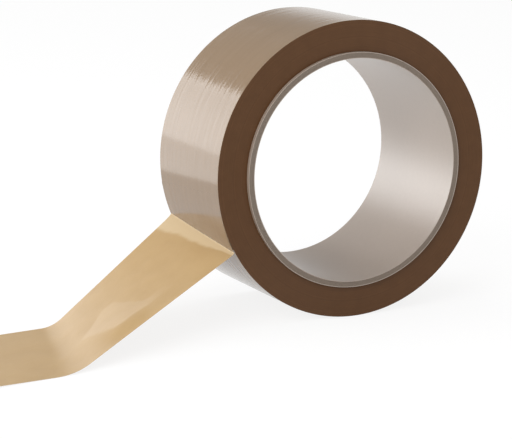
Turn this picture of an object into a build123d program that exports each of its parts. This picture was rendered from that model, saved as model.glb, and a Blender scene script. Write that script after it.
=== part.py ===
from build123d import *
import os
from math import cos, pi, radians, sin, sqrt, tan

# A roll of brown packing tape on a paper core. The roll stands on its rim, and the
# free end of the tape has been peeled off, folded back and laid down on the surface
# that the roll stands on.
#
# Frame, in millimetres: the origin is the centre of the core's bore, Y runs along
# the roll's axis, +Z is up, and the tail leaves the roll towards -X.

os.makedirs("parts", exist_ok=True)

# The tape: a plastic film with an adhesive on its inner side.
TAPE_WIDTH = 48.0
FILM_THICKNESS = 0.028
ADHESIVE_THICKNESS = 0.018
WOUND_LENGTH = 66_000.0

# The core: plies of grey board between two paper liners. It is cut a little wider
# than the tape, and stands out equally at both ends.
CORE_WIDTH = 50.8
BORE_RADIUS = 38.1
LINER_THICKNESS = 0.2
PLY_THICKNESS = 0.34
PLY_COUNT = 5

# The last turn, lifted off the roll between the peel line and the crease.
PEEL_ANGLE = 170.0  # from +X, towards +Z
CREASE_ANGLE = 206.2
LIFT = 0.6  # clear space under the lifted turn

# The tail: a sloping span from the crease down to the surface, then the end on it.
SPAN_REACH = 58.9  # along X, from the crease to the bend on the surface
SPAN_SKEW = 21.25  # how far the span runs off towards -Y, seen from above
END_REACH = 53.4
END_SKEW = 8.3
FOLD_GAP = 0.3  # between two lengths of tape that turn about one fold

TAPE_THICKNESS = FILM_THICKNESS + ADHESIVE_THICKNESS
CORE_RADIUS = BORE_RADIUS + 2 * LINER_THICKNESS + PLY_COUNT * PLY_THICKNESS
# The end face of the wound tape has the area of the tape's edge along its length.
ROLL_RADIUS = sqrt(CORE_RADIUS**2 + WOUND_LENGTH * TAPE_THICKNESS / pi)
LIFTED_RADIUS = ROLL_RADIUS + LIFT


def tube(inner_radius, outer_radius, width):
    """A ring of the given width about the roll's axis."""
    with BuildPart() as ring:
        with BuildSketch(Plane.XZ):
            Circle(outer_radius)
            Circle(inner_radius, mode=Mode.SUBTRACT)
        extrude(amount=width / 2, both=True)
    return ring.part


def arc_of_tape(inner_radius, first_angle, last_angle):
    """A length of tape curved about the roll's axis, between two angles."""
    outer_radius = inner_radius + TAPE_THICKNESS
    sweep_angle = last_angle - first_angle
    # On this plane X and Y are the frame's X and Z.
    with BuildPart() as arc:
        with BuildSketch(Plane.XZ):
            with BuildLine():
                inner = CenterArc((0, 0), inner_radius, first_angle, sweep_angle)
                outer = CenterArc((0, 0), outer_radius, first_angle, sweep_angle)
                Line(inner @ 0, outer @ 0)
                Line(inner @ 1, outer @ 1)
            make_face()
        extrude(amount=TAPE_WIDTH / 2, both=True)
    return arc.part


def flat_tape(start, end):
    """A straight length of tape between two fold lines that run along Y."""
    run = Vector(end.X - start.X, 0, end.Z - start.Z)
    slant = (end.Y - start.Y) / run.length
    near, far = FOLD_GAP, run.length - FOLD_GAP
    half = TAPE_WIDTH / 2
    with BuildPart() as length_of_tape:
        with BuildSketch(Plane(origin=start, x_dir=run, z_dir=run.cross(Vector(0, 1, 0)))):
            with BuildLine():
                Polyline(
                    (near, slant * near - half),
                    (far, slant * far - half),
                    (far, slant * far + half),
                    (near, slant * near + half),
                    close=True,
                )
            make_face()
        extrude(amount=TAPE_THICKNESS / 2, both=True)
    return length_of_tape.part


def write(part, name):
    part.label = name
    export_step(part, f"parts/{name}.step")
    print(f"{name:18s} {part.volume:12.2f} mm3  {part.bounding_box().size}")


# ---- core ----
core_radius = BORE_RADIUS + LINER_THICKNESS
write(tube(BORE_RADIUS, core_radius, CORE_WIDTH), "core_inner_liner")

for ply in range(1, PLY_COUNT + 1):
    write(tube(core_radius, core_radius + PLY_THICKNESS, CORE_WIDTH), f"core_ply_{ply}")
    core_radius += PLY_THICKNESS

write(tube(core_radius, CORE_RADIUS, CORE_WIDTH), "core_outer_liner")

# ---- wound tape ----
write(tube(CORE_RADIUS, ROLL_RADIUS, TAPE_WIDTH), "wound_tape")

# ---- lifted turn ----
fold_gap_angle = FOLD_GAP / LIFTED_RADIUS * 180 / pi
write(
    arc_of_tape(LIFTED_RADIUS, PEEL_ANGLE, CREASE_ANGLE - fold_gap_angle),
    "lifted_turn",
)

# ---- tail ----
crease_radius = LIFTED_RADIUS + TAPE_THICKNESS / 2
crease = Vector(
    crease_radius * cos(radians(CREASE_ANGLE)),
    0,
    crease_radius * sin(radians(CREASE_ANGLE)),
)
floor_bend = Vector(
    crease.X - SPAN_REACH,
    -SPAN_REACH * tan(radians(SPAN_SKEW)),
    -ROLL_RADIUS + TAPE_THICKNESS / 2,
)
tail_tip = Vector(
    floor_bend.X - END_REACH,
    floor_bend.Y - END_REACH * tan(radians(END_SKEW)),
    floor_bend.Z,
)
write(flat_tape(crease, floor_bend), "tail_span")
write(flat_tape(floor_bend, tail_tip), "tail_end")

print("roll radius", round(ROLL_RADIUS, 3), "core radius", round(CORE_RADIUS, 3))
print("crease", crease, "floor bend", floor_bend, "tip", tail_tip)
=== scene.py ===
# %% [markdown]
# A roll of brown packing tape stands on its rim. Its free end is peeled off at the
# left, folded back from the roll and laid on the table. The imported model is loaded
# first: it gives the real sizes, the bodies that move, and the place of every piece.

# %% Load the frame
import itertools
import math
import bmesh
import bpy
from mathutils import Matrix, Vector


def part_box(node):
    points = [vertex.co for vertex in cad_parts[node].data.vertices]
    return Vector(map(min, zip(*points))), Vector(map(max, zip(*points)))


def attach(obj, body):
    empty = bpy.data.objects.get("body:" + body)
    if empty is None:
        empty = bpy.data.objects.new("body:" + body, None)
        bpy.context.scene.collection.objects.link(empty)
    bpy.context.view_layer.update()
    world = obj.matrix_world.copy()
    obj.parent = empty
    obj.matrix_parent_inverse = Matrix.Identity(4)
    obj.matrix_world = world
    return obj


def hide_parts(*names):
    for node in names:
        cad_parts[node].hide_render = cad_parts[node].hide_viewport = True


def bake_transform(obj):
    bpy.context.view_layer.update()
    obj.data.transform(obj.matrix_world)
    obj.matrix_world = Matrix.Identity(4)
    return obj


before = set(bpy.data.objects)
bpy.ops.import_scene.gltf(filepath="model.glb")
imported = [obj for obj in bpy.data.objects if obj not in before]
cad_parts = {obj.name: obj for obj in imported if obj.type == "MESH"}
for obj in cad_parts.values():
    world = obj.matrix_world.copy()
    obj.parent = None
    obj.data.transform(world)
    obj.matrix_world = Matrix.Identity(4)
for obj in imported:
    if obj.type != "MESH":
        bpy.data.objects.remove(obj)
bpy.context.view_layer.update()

MM = 0.001

# %% [markdown]
# Colours are written as the hex values that a screen shows, and one function turns
# them into the linear light that the shaders add up. Materials are trees of nodes,
# so a second small function adds a node, sets its sockets and links it.

# %% Colour and node helpers
def linear(hex_colour):
    """An sRGB hex colour as linear red, green, blue and alpha."""
    channels = [int(hex_colour[i : i + 2], 16) / 255 for i in (1, 3, 5)]
    return [c / 12.92 if c <= 0.04045 else ((c + 0.055) / 1.055) ** 2.4 for c in channels] + [1.0]


def add_node(tree, kind, sockets=None, **settings):
    """Adds a node. A socket's value is a number, a colour or another node's output."""
    node = tree.nodes.new(kind)
    for name, value in settings.items():
        setattr(node, name, value)
    for name, value in (sockets or {}).items():
        if isinstance(value, bpy.types.NodeSocket):
            tree.links.new(value, node.inputs[name])
        else:
            node.inputs[name].default_value = value
    return node


def new_material(name):
    """An empty material with its output node."""
    material = bpy.data.materials.new(name)
    material.use_nodes = True
    tree = material.node_tree
    tree.nodes.clear()
    return material, tree, tree.nodes.new("ShaderNodeOutputMaterial")


# %% [markdown]
# The sizes of the roll come from the frame. The roll's axis is Y, its centre is the
# origin, and it touches the table at its lowest point.

# %% Read the roll's sizes
def outer_radius(node):
    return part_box(node)[1].x


ROLL_RADIUS = outer_radius("wound_tape")
CORE_RADIUS = outer_radius("core_outer_liner")
HALF_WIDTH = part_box("wound_tape")[1].y
CORE_HALF_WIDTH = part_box("core_ply_1")[1].y
TABLE_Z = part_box("tail_end")[0].z
TAPE_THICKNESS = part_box("tail_end")[1].z - TABLE_Z
CORE_RINGS = ["core_inner_liner"] + [f"core_ply_{n}" for n in range(1, 6)] + ["core_outer_liner"]
LINER_THICKNESS = CORE_RADIUS - outer_radius("core_ply_5")
BORE_RADIUS = outer_radius("core_inner_liner") - LINER_THICKNESS
print(f"roll {ROLL_RADIUS / MM:.2f}, core {CORE_RADIUS / MM:.2f}, bore {BORE_RADIUS / MM:.2f} mm")

# %% [markdown]
# Packing tape is biaxially stretched polypropylene film. Wound on the roll it looks
# beige, because many layers scatter light back, and its surface is as smooth as
# glass across but faintly rippled round the roll, where the film was pulled tight
# over the turns below. Those ripples break the edge of every reflection into streaks.

# %% Film on the roll
TINT_LENGTH, TINT_WIDTH = 40 * MM, 3 * MM
RIPPLE_LENGTH, RIPPLE_WIDTH, RIPPLE_HEIGHT = 22 * MM, 2.2 * MM, 0.095 * MM


def around_the_roll(tree, along, across):
    """Place on the roll as (way round it, way across it), counted in lengths and widths."""
    place = add_node(tree, "ShaderNodeTexCoord").outputs["Object"]
    axes = add_node(tree, "ShaderNodeSeparateXYZ", {"Vector": place})
    angle = add_node(
        tree, "ShaderNodeMath", {0: axes.outputs["X"], 1: axes.outputs["Z"]}, operation="ARCTAN2"
    )
    arc = add_node(
        tree, "ShaderNodeMath", {0: angle.outputs[0], 1: ROLL_RADIUS / along}, operation="MULTIPLY"
    )
    side = add_node(
        tree, "ShaderNodeMath", {0: axes.outputs["Y"], 1: 1 / across}, operation="MULTIPLY"
    )
    flat = add_node(tree, "ShaderNodeCombineXYZ", {"X": arc.outputs[0], "Y": side.outputs[0]})
    return flat.outputs[0]


def film_on_roll():
    material, tree, output = new_material("polypropylene_film_wound")
    tint = add_node(
        tree,
        "ShaderNodeTexNoise",
        {"Vector": around_the_roll(tree, TINT_LENGTH, TINT_WIDTH), "Scale": 1.0, "Detail": 4.0},
    )
    colour = add_node(
        tree,
        "ShaderNodeMix",
        {"Factor": tint.outputs["Fac"], "A": linear("#88725A"), "B": linear("#927C64")},
        data_type="RGBA",
    )
    ripple = add_node(
        tree,
        "ShaderNodeTexNoise",
        {"Vector": around_the_roll(tree, RIPPLE_LENGTH, RIPPLE_WIDTH), "Scale": 1.0, "Detail": 3.0},
    )
    relief = add_node(
        tree,
        "ShaderNodeBump",
        {"Height": ripple.outputs["Fac"], "Strength": 1.0, "Distance": RIPPLE_HEIGHT},
    )
    shader = add_node(
        tree,
        "ShaderNodeBsdfPrincipled",
        {
            "Base Color": colour.outputs["Result"],
            "Roughness": 0.13,
            "IOR": 1.5,
            "Normal": relief.outputs[0],
        },
    )
    tree.links.new(shader.outputs[0], output.inputs["Surface"])
    return material


# %% [markdown]
# Seen from the side, the roll shows the cut edges of all its turns. Light goes in
# between them and hardly comes out, so the face is a dark, dull brown. The edges lie
# in circles like the grooves of a record, so the shine is stretched across them.

# %% Cut edges of the turns
GROOVE_SPACING = 0.5 * MM  # a real turn is 0.046 mm, too fine to show, so it is drawn coarser
MOTTLE_SIZE = 4 * MM


def radius_from_axis(tree):
    """Distance from the roll's axis, in metres."""
    place = add_node(tree, "ShaderNodeTexCoord").outputs["Object"]
    flat = add_node(
        tree,
        "ShaderNodeVectorMath",
        {0: place, 1: (1.0, 0.0, 1.0)},
        operation="MULTIPLY",
    )
    return add_node(tree, "ShaderNodeVectorMath", {0: flat.outputs[0]}, operation="LENGTH").outputs["Value"]


def cut_tape_edges():
    material, tree, output = new_material("cut_edges_of_wound_film")
    grooves = add_node(
        tree, "ShaderNodeMath", {0: radius_from_axis(tree), 1: 1 / GROOVE_SPACING}, operation="MULTIPLY"
    )
    turns = add_node(
        tree,
        "ShaderNodeTexNoise",
        {"W": grooves.outputs[0], "Scale": 1.0, "Detail": 3.0},
        noise_dimensions="1D",
    )
    place = add_node(tree, "ShaderNodeTexCoord").outputs["Object"]
    mottle = add_node(
        tree, "ShaderNodeTexNoise", {"Vector": place, "Scale": 1 / MOTTLE_SIZE, "Detail": 5.0}
    )
    blend = add_node(
        tree, "ShaderNodeMath", {0: turns.outputs["Fac"], 1: mottle.outputs["Fac"]}, operation="MULTIPLY"
    )
    colour = add_node(
        tree,
        "ShaderNodeMix",
        {"Factor": blend.outputs[0], "A": linear("#53361C"), "B": linear("#674529")},
        data_type="RGBA",
    )
    relief = add_node(
        tree, "ShaderNodeBump", {"Height": turns.outputs["Fac"], "Strength": 0.6, "Distance": 0.03 * MM}
    )
    tangent = add_node(tree, "ShaderNodeTangent", direction_type="RADIAL", axis="Y")
    shader = add_node(
        tree,
        "ShaderNodeBsdfPrincipled",
        {
            "Base Color": colour.outputs["Result"],
            "Roughness": 0.55,
            "Specular IOR Level": 0.3,
            "Anisotropic": 0.6,
            "Normal": relief.outputs[0],
            "Tangent": tangent.outputs[0],
        },
    )
    tree.links.new(shader.outputs[0], output.inputs["Surface"])
    return material


# %% [markdown]
# A ring is the same shape eight times over: the wound tape, five plies and two
# liners. Each starts as a small rectangle, the ring's section, which is spun once
# round the roll's axis. The edge is eased a little so that it catches the light.

# %% Rings
RING_STEPS = 240
SHARP_ANGLE = math.radians(10)  # a step round the ring turns 1.5 degrees, a corner 90
TAPE_EASING, PAPER_EASING = 0.12 * MM, 0.03 * MM


def ring(name, inner, outer, half_width, easing):
    """A ring about the Y axis, as a mesh object."""
    mesh = bpy.data.meshes.new(name)
    bm = bmesh.new()
    places = [(inner, -half_width), (outer, -half_width), (outer, half_width), (inner, half_width)]
    corners = [bm.verts.new((r, y, 0)) for r, y in places]
    section = [bm.edges.new((corners[i], corners[(i + 1) % 4])) for i in range(4)]
    bmesh.ops.spin(
        bm,
        geom=corners + section,
        cent=(0, 0, 0),
        axis=(0, 1, 0),
        angle=2 * math.pi,
        steps=RING_STEPS,
        use_merge=True,
    )
    bmesh.ops.remove_doubles(bm, verts=bm.verts, dist=1e-7)
    bmesh.ops.recalc_face_normals(bm, faces=bm.faces)
    bmesh.ops.bevel(
        bm,
        geom=[e for e in bm.edges if e.calc_face_angle() > SHARP_ANGLE],
        offset=easing,
        offset_type="OFFSET",
        segments=2,
        profile=0.5,
        affect="EDGES",
        material=-1,
    )
    bmesh.ops.recalc_face_normals(bm, faces=bm.faces)
    for face in bm.faces:
        face.smooth = True
    for edge in bm.edges:
        edge.smooth = edge.calc_face_angle() < SHARP_ANGLE
    bm.to_mesh(mesh)
    bm.free()
    piece = bpy.data.objects.new(name, mesh)
    bpy.context.scene.collection.objects.link(piece)
    return piece


# %% Wound tape
wound = ring("wound_turns", CORE_RADIUS, ROLL_RADIUS, HALF_WIDTH, TAPE_EASING)
FILM_ON_ROLL = film_on_roll()
wound.data.materials.append(FILM_ON_ROLL)
wound.data.materials.append(cut_tape_edges())
for polygon in wound.data.polygons:
    polygon.material_index = 1 if abs(polygon.normal.y) > 0.5 else 0
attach(wound, "roll")
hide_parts("wound_tape")
print("wound tape", len(wound.data.polygons), "faces")

# %% [markdown]
# The core is wound from strips of paper. Grey board made of recycled fibre gives it
# its strength, and a smoother pale liner covers it inside and out. On the end of the
# core the plies show as fine rings, some a hair deeper than others.

# %% Core papers
def paper(name, dark, light, grain, roughness, coat):
    material, tree, output = new_material(name)
    place = add_node(tree, "ShaderNodeTexCoord").outputs["Object"]
    fibres = add_node(
        tree, "ShaderNodeTexNoise", {"Vector": place, "Scale": 1 / grain, "Detail": 6.0, "Roughness": 0.6}
    )
    colour = add_node(
        tree,
        "ShaderNodeMix",
        {"Factor": fibres.outputs["Fac"], "A": linear(dark), "B": linear(light)},
        data_type="RGBA",
    )
    relief = add_node(
        tree, "ShaderNodeBump", {"Height": fibres.outputs["Fac"], "Strength": 0.5, "Distance": 0.04 * MM}
    )
    shader = add_node(
        tree,
        "ShaderNodeBsdfPrincipled",
        {
            "Base Color": colour.outputs["Result"],
            "Roughness": roughness,
            "Coat Weight": coat,
            "Coat Roughness": 0.36,
            "Coat IOR": 1.9,
            "Normal": relief.outputs[0],
        },
    )
    tree.links.new(shader.outputs[0], output.inputs["Surface"])
    return material


LINER_PAPER = paper("calendered_liner_paper", "#A19183", "#AA9A8C", 1.5 * MM, 0.5, 1.0)
GREY_BOARD = paper("grey_board", "#75685C", "#8C7F73", 0.6 * MM, 0.9, 0.0)

# %% Core rings
SET_BACK = [0.0, 0.06 * MM, 0.12 * MM, 0.04 * MM, 0.1 * MM, 0.07 * MM, 0.0]  # a liner has none
inner = BORE_RADIUS
for node, set_back in zip(CORE_RINGS, SET_BACK):
    is_liner = "liner" in node
    outer = outer_radius(node)
    piece = ring(f"{node}_paper", inner, outer, CORE_HALF_WIDTH - set_back, PAPER_EASING)
    piece.data.materials.append(LINER_PAPER if is_liner else GREY_BOARD)
    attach(piece, "roll")
    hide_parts(node)
    inner = outer
print("core", len(CORE_RINGS), "rings")

# %% [markdown]
# Off the roll, the same film is a single layer, so its own tan colour shows. Its
# shine is softer than on the roll, because the adhesive behind it came away
# unevenly and left the film faintly cloudy. Just past the crease a paler wedge,
# widest at the far edge, is a painted highlight: the light that the rounded fold
# catches there is painted into the film's colour.

# %% Film off the roll
CLOUD_SIZE = 9 * MM
# Flat length of each stage of the strip, from the roll to the tip.
STAGES = {"on_roll": 14 * MM, "crease": 5.5 * MM, "span": 58 * MM, "bend": 11 * MM, "end": 48 * MM}
FOLD_LINE = STAGES["on_roll"] + STAGES["crease"] / 2
# Widths of the painted highlight wedge past the fold.
HIGHLIGHT_FAR, HIGHLIGHT_NEAR = 5.4 * MM, 1.9 * MM  # width of the wedge at each edge of the film


def free_film():
    material, tree, output = new_material("polypropylene_film_free")
    place = add_node(tree, "ShaderNodeTexCoord").outputs["UV"]
    clouds = add_node(
        tree,
        "ShaderNodeTexNoise",
        {"Vector": place, "Scale": 1 / CLOUD_SIZE, "Detail": 5.0, "Roughness": 0.55},
    )
    colour = add_node(
        tree,
        "ShaderNodeMix",
        {"Factor": clouds.outputs["Fac"], "A": linear("#B39262"), "B": linear("#C2A372")},
        data_type="RGBA",
    )
    shape = add_node(tree, "ShaderNodeSeparateXYZ", {"Vector": place})
    wedge = add_node(
        tree,
        "ShaderNodeMapRange",
        {"Value": shape.outputs["Y"], "From Max": 2 * HALF_WIDTH, "To Min": HIGHLIGHT_FAR, "To Max": HIGHLIGHT_NEAR},
    )
    past_fold = add_node(
        tree, "ShaderNodeMath", {0: shape.outputs["X"], 1: FOLD_LINE}, operation="SUBTRACT"
    )
    share = add_node(
        tree, "ShaderNodeMath", {0: past_fold.outputs[0], 1: wedge.outputs[0]}, operation="DIVIDE"
    )
    uneven = add_node(
        tree, "ShaderNodeMath", {0: share.outputs[0], 1: clouds.outputs["Fac"]}, operation="ADD"
    )
    # Painted highlight: a wedge past the fold is lightened, standing in for light that the fold catches.
    painted_highlight = add_node(
        tree,
        "ShaderNodeMapRange",
        {"Value": uneven.outputs[0], "From Min": 1.1, "From Max": 1.7, "To Min": 0.9, "To Max": 0.0},
        interpolation_type="SMOOTHSTEP",
    )
    # Mixes the painted highlight colour #D3BB94 into the film's own colour.
    film_with_highlight = add_node(
        tree,
        "ShaderNodeMix",
        {"Factor": painted_highlight.outputs[0], "A": colour.outputs["Result"], "B": linear("#D3BB94")},
        data_type="RGBA",
    )
    relief = add_node(
        tree, "ShaderNodeBump", {"Height": clouds.outputs["Fac"], "Strength": 0.6, "Distance": 0.25 * MM}
    )
    shader = add_node(
        tree,
        "ShaderNodeBsdfPrincipled",
        {
            "Base Color": film_with_highlight.outputs["Result"],
            "Roughness": 0.36,
            "IOR": 1.5,
            "Normal": relief.outputs[0],
        },
    )
    tree.links.new(shader.outputs[0], output.inputs["Surface"])
    return material


FREE_FILM = free_film()

# %% [markdown]
# The tail is one strip with two folds. Its two long edges are followed from the roll
# to the table. Each is an arc on the roll and two straight runs, with a soft bend
# between them, and the film spans from one edge to the other. The far edge turns
# more tightly at the table and more widely at the roll, as on a twisted strip.
# Film that is folded aslant also buckles, so a low pleat runs down the span.

# %% Edges of the tail
def on_roll(angle, y, lift):
    """A point at an angle from +X towards +Z, a little outside the roll."""
    radius = ROLL_RADIUS + lift
    return Vector((radius * math.cos(math.radians(angle)), y, radius * math.sin(math.radians(angle))))


tip_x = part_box("tail_end")[0].x
LIFT_AT_CREASE = 0.3 * MM
LIFT_ON_ROLL = 0.03 * MM
EDGES = {
    "far": {
        "top": 189.0,
        "crease": 202.6,
        "y": HALF_WIDTH - 1.4 * MM,
        "bend": Vector((-98.6 * MM, 5.1 * MM, TABLE_Z + 0.5 * MM)),
        "tip": Vector((tip_x, -4.2 * MM, TABLE_Z + 1.2 * MM)),
        "crease_round": (0.5 * MM, 6.0 * MM),
        "bend_round": 4.5 * MM,
    },
    "near": {
        "top": 185.0,
        "crease": 208.8,
        "y": -HALF_WIDTH,
        "bend": Vector((-111.5 * MM, -50.9 * MM, TABLE_Z + 0.03 * MM)),
        "tip": Vector((tip_x, -56.8 * MM, TABLE_Z + 0.8 * MM)),
        "crease_round": (0.5 * MM, 2.0 * MM),
        "bend_round": 6.5 * MM,
    },
}


def rounded(before, corner, after, reach_before, reach_after, t):
    """A point at t on the soft bend that replaces a corner."""
    a = corner + (before - corner).normalized() * reach_before
    b = corner + (after - corner).normalized() * reach_after
    return (1 - t) ** 2 * a + 2 * t * (1 - t) * corner + t * t * b


def tail_point(edge, stage, t):
    """A point on one edge. The stages run from the roll to the tip."""
    crease = on_roll(edge["crease"], edge["y"], LIFT_AT_CREASE)
    last_angle = edge["crease"] - math.degrees(edge["crease_round"][0] / ROLL_RADIUS)
    last = on_roll(last_angle, edge["y"], LIFT_AT_CREASE)
    if stage == "on_roll":
        lift = LIFT_AT_CREASE * t * t + LIFT_ON_ROLL
        y = edge["y"] if edge["y"] < 0 else HALF_WIDTH + (edge["y"] - HALF_WIDTH) * t
        return on_roll(edge["top"] + (last_angle - edge["top"]) * t, y, lift)
    if stage == "crease":
        return rounded(last, crease, edge["bend"], *edge["crease_round"], t)
    start = crease + (edge["bend"] - crease).normalized() * edge["crease_round"][1]
    end = edge["bend"] + (crease - edge["bend"]).normalized() * edge["bend_round"]
    if stage == "span":
        return start.lerp(end, t)
    if stage == "bend":
        return rounded(crease, edge["bend"], edge["tip"], edge["bend_round"], edge["bend_round"], t)
    begin = edge["bend"] + (edge["tip"] - edge["bend"]).normalized() * edge["bend_round"]
    return begin.lerp(edge["tip"], t)


def smooth(start, end, value):
    """A soft step from 0 at the start to 1 at the end, which may be the lower of the two."""
    t = min(max((value - start) / (end - start), 0.0), 1.0)
    return t * t * (3 - 2 * t)


PLEAT_SLOPE = 0.055  # from the foot of the pleat up to its ridge
PLEAT_AT_BEND = 0.58  # where foot and ridge meet, as a share of the film's width
RIDGE_SHIFT, FOOT_SHIFT, FOOT_RETURN = 0.24, 0.17, 0.32  # also shares of the width
RIDGE_FADE = 1.02  # the pleat runs out here, just past the near edge
# Places down the span, where 0 is the crease and 1 is the bend at the table.
PLEAT_WIDENS, PLEAT_NARROWS = (1.0, 0.72), (0.7, 0.5)
PLEAT_STARTS, PLEAT_ENDS = (0.3, 0.55), (1.06, 0.96)


def buckle(across, down):
    """Height of the pleat: across is 0 at the far edge, down is 0 at the crease, 1 at the bend."""
    widened = smooth(*PLEAT_WIDENS, down)
    ridge = PLEAT_AT_BEND + RIDGE_SHIFT * widened
    foot = PLEAT_AT_BEND - FOOT_SHIFT * widened + FOOT_RETURN * smooth(*PLEAT_NARROWS, down)
    rise = min(max(across - foot, 0.0), ridge - foot) * (1 - smooth(ridge, RIDGE_FADE, across))
    height = PLEAT_SLOPE * 2 * HALF_WIDTH * rise
    return height * smooth(*PLEAT_STARTS, down) * smooth(*PLEAT_ENDS, down)


# %% Strip between the edges
COLUMNS = 96  # half a millimetre each
TOOTH_COLUMNS = 4
SEAM = 0.96  # where on the span the two pieces of film meet
TOOTH = 1.0 * MM


def strip(name, parts):
    """A sheet of film through the given parts, [(stage, from, to, rows)]."""
    mesh = bpy.data.meshes.new(name)
    bm = bmesh.new()
    rows = sum(part[3] for part in parts)
    bmesh.ops.create_grid(bm, x_segments=COLUMNS, y_segments=rows, size=0.5)
    shape = bm.loops.layers.uv.new("UVMap")
    begins = dict(zip(STAGES, itertools.accumulate(STAGES.values(), initial=0.0)))
    flat = {}
    for vertex in bm.verts:
        across, row = vertex.co.x + 0.5, round((vertex.co.y + 0.5) * rows)
        for stage, first, last, count in parts:
            if row <= count:
                t = first + (last - first) * row / count
                break
            row -= count
        far, near = (tail_point(EDGES[side], stage, t) for side in ("far", "near"))
        place = far.lerp(near, across)
        if stage == "on_roll":
            # between its edges the film follows the round of the roll, not a chord
            out = math.hypot(far.x, far.z) * (1 - across) + math.hypot(near.x, near.z) * across
            level = Vector((place.x, 0, place.z)).normalized() * out
            place = level + Vector((0, place.y, 0))
        if stage in ("span", "bend"):
            place.z += buckle(across, t if stage == "span" else 1 + t)
        if stage == "end" and t > 1 - 1e-6:
            place.x += TOOTH * abs((across * COLUMNS / TOOTH_COLUMNS) % 1 - 0.5) * 2
        flat[vertex] = (begins[stage] + t * STAGES[stage], across * 2 * HALF_WIDTH)
        vertex.co = place
    for face in bm.faces:
        face.smooth = True
        for loop in face.loops:
            loop[shape].uv = flat[loop.vert]
        middle = sum(flat[v][0] for v in face.verts) / 4
        face.material_index = 1 if middle < STAGES["on_roll"] else 0
    for edge in bm.edges:
        edge.smooth = not edge.is_boundary
    bm.to_mesh(mesh)
    bm.free()
    piece = bpy.data.objects.new(name, mesh)
    bpy.context.scene.collection.objects.link(piece)
    mesh.materials.append(FREE_FILM)
    mesh.materials.append(FILM_ON_ROLL)
    solid = piece.modifiers.new("thickness", "SOLIDIFY")
    solid.thickness = TAPE_THICKNESS
    solid.offset = 0.0
    return piece


upper = strip("tail_upper_film", [("on_roll", 0, 1, 24), ("crease", 0, 1, 16), ("span", 0, SEAM, 80)])
lower = strip("tail_lower_film", [("span", SEAM, 1, 4), ("bend", 0, 1, 24), ("end", 0, 1, 40)])
print("tail", len(upper.data.polygons) + len(lower.data.polygons), "faces")

# %% [markdown]
# In the imported model the tail rides on three bodies, but here both pieces of film
# stay fixed where they were built, and the imported tail parts are hidden. The crease
# runs aslant, so its line, the way down the span and the way the film folds, taken
# square to the crease, are worked out as well.

# %% Tail pieces in place
crease_ends = [on_roll(edge["crease"], edge["y"], LIFT_AT_CREASE) for edge in (EDGES["far"], EDGES["near"])]
crease_middle = (crease_ends[0] + crease_ends[1]) / 2
crease_line = (crease_ends[1] - crease_ends[0]).normalized()
bend_middle = (EDGES["far"]["bend"] + EDGES["near"]["bend"]) / 2
down_span = (bend_middle - crease_middle).normalized()
up_roll = Vector((crease_middle.z, 0, -crease_middle.x)).normalized()
fold_way = down_span - up_roll
fold_way = (fold_way - fold_way.dot(crease_line) * crease_line).normalized()
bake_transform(upper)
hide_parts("lifted_turn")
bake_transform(lower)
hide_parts("tail_span", "tail_end")

# %% [markdown]
# The table is a plain white plane. The camera sees it near white whatever the lamps
# do, but part of its brightness is still real light, so the shadow stays.

# %% Table
TABLE_GLOW_SHARE = 0.8  # the rest of its brightness is light that falls on it
TABLE_HALF_SIZE = 3.0


def table_white():
    material, tree, output = new_material("white_table")
    lit = add_node(tree, "ShaderNodeBsdfDiffuse", {"Color": linear("#E8E8E8")})
    glow = add_node(tree, "ShaderNodeEmission", {"Color": (1, 1, 1, 1), "Strength": 1.06})
    ray = add_node(tree, "ShaderNodeLightPath")
    mirrored = add_node(
        tree,
        "ShaderNodeMath",
        {0: ray.outputs["Is Glossy Ray"], 1: ray.outputs["Is Transmission Ray"]},
        operation="MAXIMUM",
    )
    either = add_node(
        tree,
        "ShaderNodeMath",
        {0: ray.outputs["Is Camera Ray"], 1: mirrored.outputs[0]},
        operation="MAXIMUM",
    )
    seen = add_node(
        tree, "ShaderNodeMath", {0: either.outputs[0], 1: TABLE_GLOW_SHARE}, operation="MULTIPLY"
    )
    mix = add_node(tree, "ShaderNodeMixShader", {0: seen.outputs[0], 1: lit.outputs[0], 2: glow.outputs[0]})
    tree.links.new(mix.outputs[0], output.inputs["Surface"])
    return material


table_mesh = bpy.data.meshes.new("table")
bm = bmesh.new()
bmesh.ops.create_grid(bm, x_segments=1, y_segments=1, size=TABLE_HALF_SIZE)
bmesh.ops.translate(bm, verts=bm.verts, vec=(0, 0, TABLE_Z))
bm.to_mesh(table_mesh)
bm.free()
table = bpy.data.objects.new("table", table_mesh)
table.data.materials.append(table_white())
bpy.context.scene.collection.objects.link(table)
print(f"table at {TABLE_Z / MM:.2f} mm")

# %% [markdown]
# The studio is white near the table and dim higher up. A glossy film shows that as a
# bright lower half and a darker upper half, so the world gets darker with height for
# the rays that mirror it. For everything else it is one even light.

# %% World
world = bpy.data.worlds.new("studio")
bpy.context.scene.world = world
world.use_nodes = True
tree = world.node_tree
tree.nodes.clear()
direction = add_node(tree, "ShaderNodeTexCoord").outputs["Generated"]
height = add_node(tree, "ShaderNodeSeparateXYZ", {"Vector": direction}).outputs["Z"]
fade = add_node(
    tree,
    "ShaderNodeMapRange",
    {"Value": height, "From Min": 0.1, "From Max": 0.36, "To Min": 0.9, "To Max": 0.28},
    interpolation_type="SMOOTHSTEP",
)
mirrored = add_node(tree, "ShaderNodeBackground", {"Color": (1, 1, 1, 1), "Strength": fade.outputs[0]})
ambient = add_node(tree, "ShaderNodeBackground", {"Color": (1, 1, 1, 1), "Strength": 0.55})
white = add_node(tree, "ShaderNodeBackground", {"Color": (1, 1, 1, 1), "Strength": 1.0})
ray = add_node(tree, "ShaderNodeLightPath")
glossy_or_not = add_node(
    tree,
    "ShaderNodeMixShader",
    {0: ray.outputs["Is Glossy Ray"], 1: ambient.outputs[0], 2: mirrored.outputs[0]},
)
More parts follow.
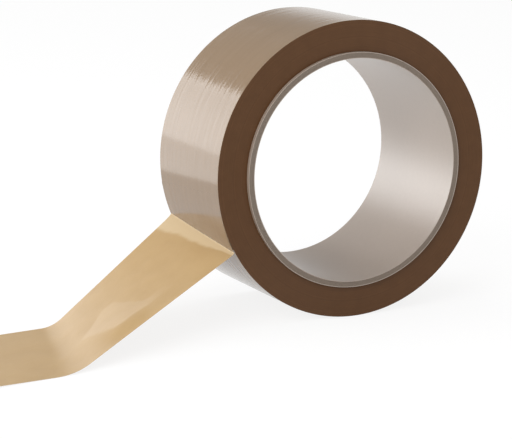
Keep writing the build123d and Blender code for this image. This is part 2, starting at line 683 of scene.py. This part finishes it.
seen_directly = add_node(
    tree,
    "ShaderNodeMath",
    {0: ray.outputs["Is Camera Ray"], 1: ray.outputs["Is Transmission Ray"]},
    operation="MAXIMUM",
)
camera_or_not = add_node(
    tree,
    "ShaderNodeMixShader",
    {0: seen_directly.outputs[0], 1: glossy_or_not.outputs[0], 2: white.outputs[0]},
)
world_output = add_node(tree, "ShaderNodeOutputWorld")
tree.links.new(camera_or_not.outputs[0], world_output.inputs["Surface"])

# %% [markdown]
# Two large soft lamps, one overhead and one at the front left, light the roll evenly,
# so its shadow stays faint. Two low boxes behind it, the first with a thin bright top
# edge, and a bright patch of table are there for the film and the bore to mirror.

# %% Lamps
def soft_lamp(name, place, aim, width, height, power):
    """A rectangular soft box that faces the point it aims at, unseen by the camera."""
    lamp = bpy.data.lights.new(name, "AREA")
    lamp.shape = "RECTANGLE"
    lamp.size, lamp.size_y = width, height
    lamp.energy = power
    box = bpy.data.objects.new(name, lamp)
    box.location = place
    box.rotation_euler = (Vector(aim) - Vector(place)).to_track_quat("-Z", "Y").to_euler()
    box.visible_camera = False
    bpy.context.scene.collection.objects.link(box)


soft_lamp("overhead", (-0.3, 0.25, 1.1), (0, 0, 0), 0.9, 0.9, 4.6)
soft_lamp("window", (-0.9, -0.7, 0.7), (0, 0, 0), 0.7, 0.7, 8.0)
soft_lamp("low_left_box", (-1.44, 1.98, 0.45), (0, 0, 0.45), 2.2, 1.0, 15.6)
soft_lamp("box_top_edge", (-1.43, 1.97, 0.92), (0, 0, 0.92), 2.2, 0.06, 0.5)
soft_lamp("low_back_box", (0.04, 2.45, 0.45), (0, 0, 0.45), 1.13, 1.0, 4.5)
soft_lamp("table_glow", (-0.62, 1.05, TABLE_Z + 1 * MM), (-0.62, 1.05, 1), 1.0, 1.7, 5.8)
print("lamps", len(bpy.data.lights))

# %% [markdown]
# The camera stands left of the roll's front and a little above it, with a long lens,
# so the circles of the end face stay nearly round.

# %% Camera
camera = bpy.data.objects.new("camera", bpy.data.cameras.new("camera"))
bpy.context.scene.collection.objects.link(camera)
bpy.context.scene.camera = camera
camera.data.lens = 142.0
camera.data.sensor_width = 36.0
TURN = math.radians(25.81)
PITCH = math.radians(11.67)
camera.rotation_euler = (math.pi / 2 - PITCH, 0, -TURN)
camera.location = Vector((-322.4, -614.3, 121.7)) * MM
camera.data.clip_start = 0.01
print("camera", [round(v, 3) for v in camera.location])

bpy.context.scene.view_settings.view_transform = "Standard"
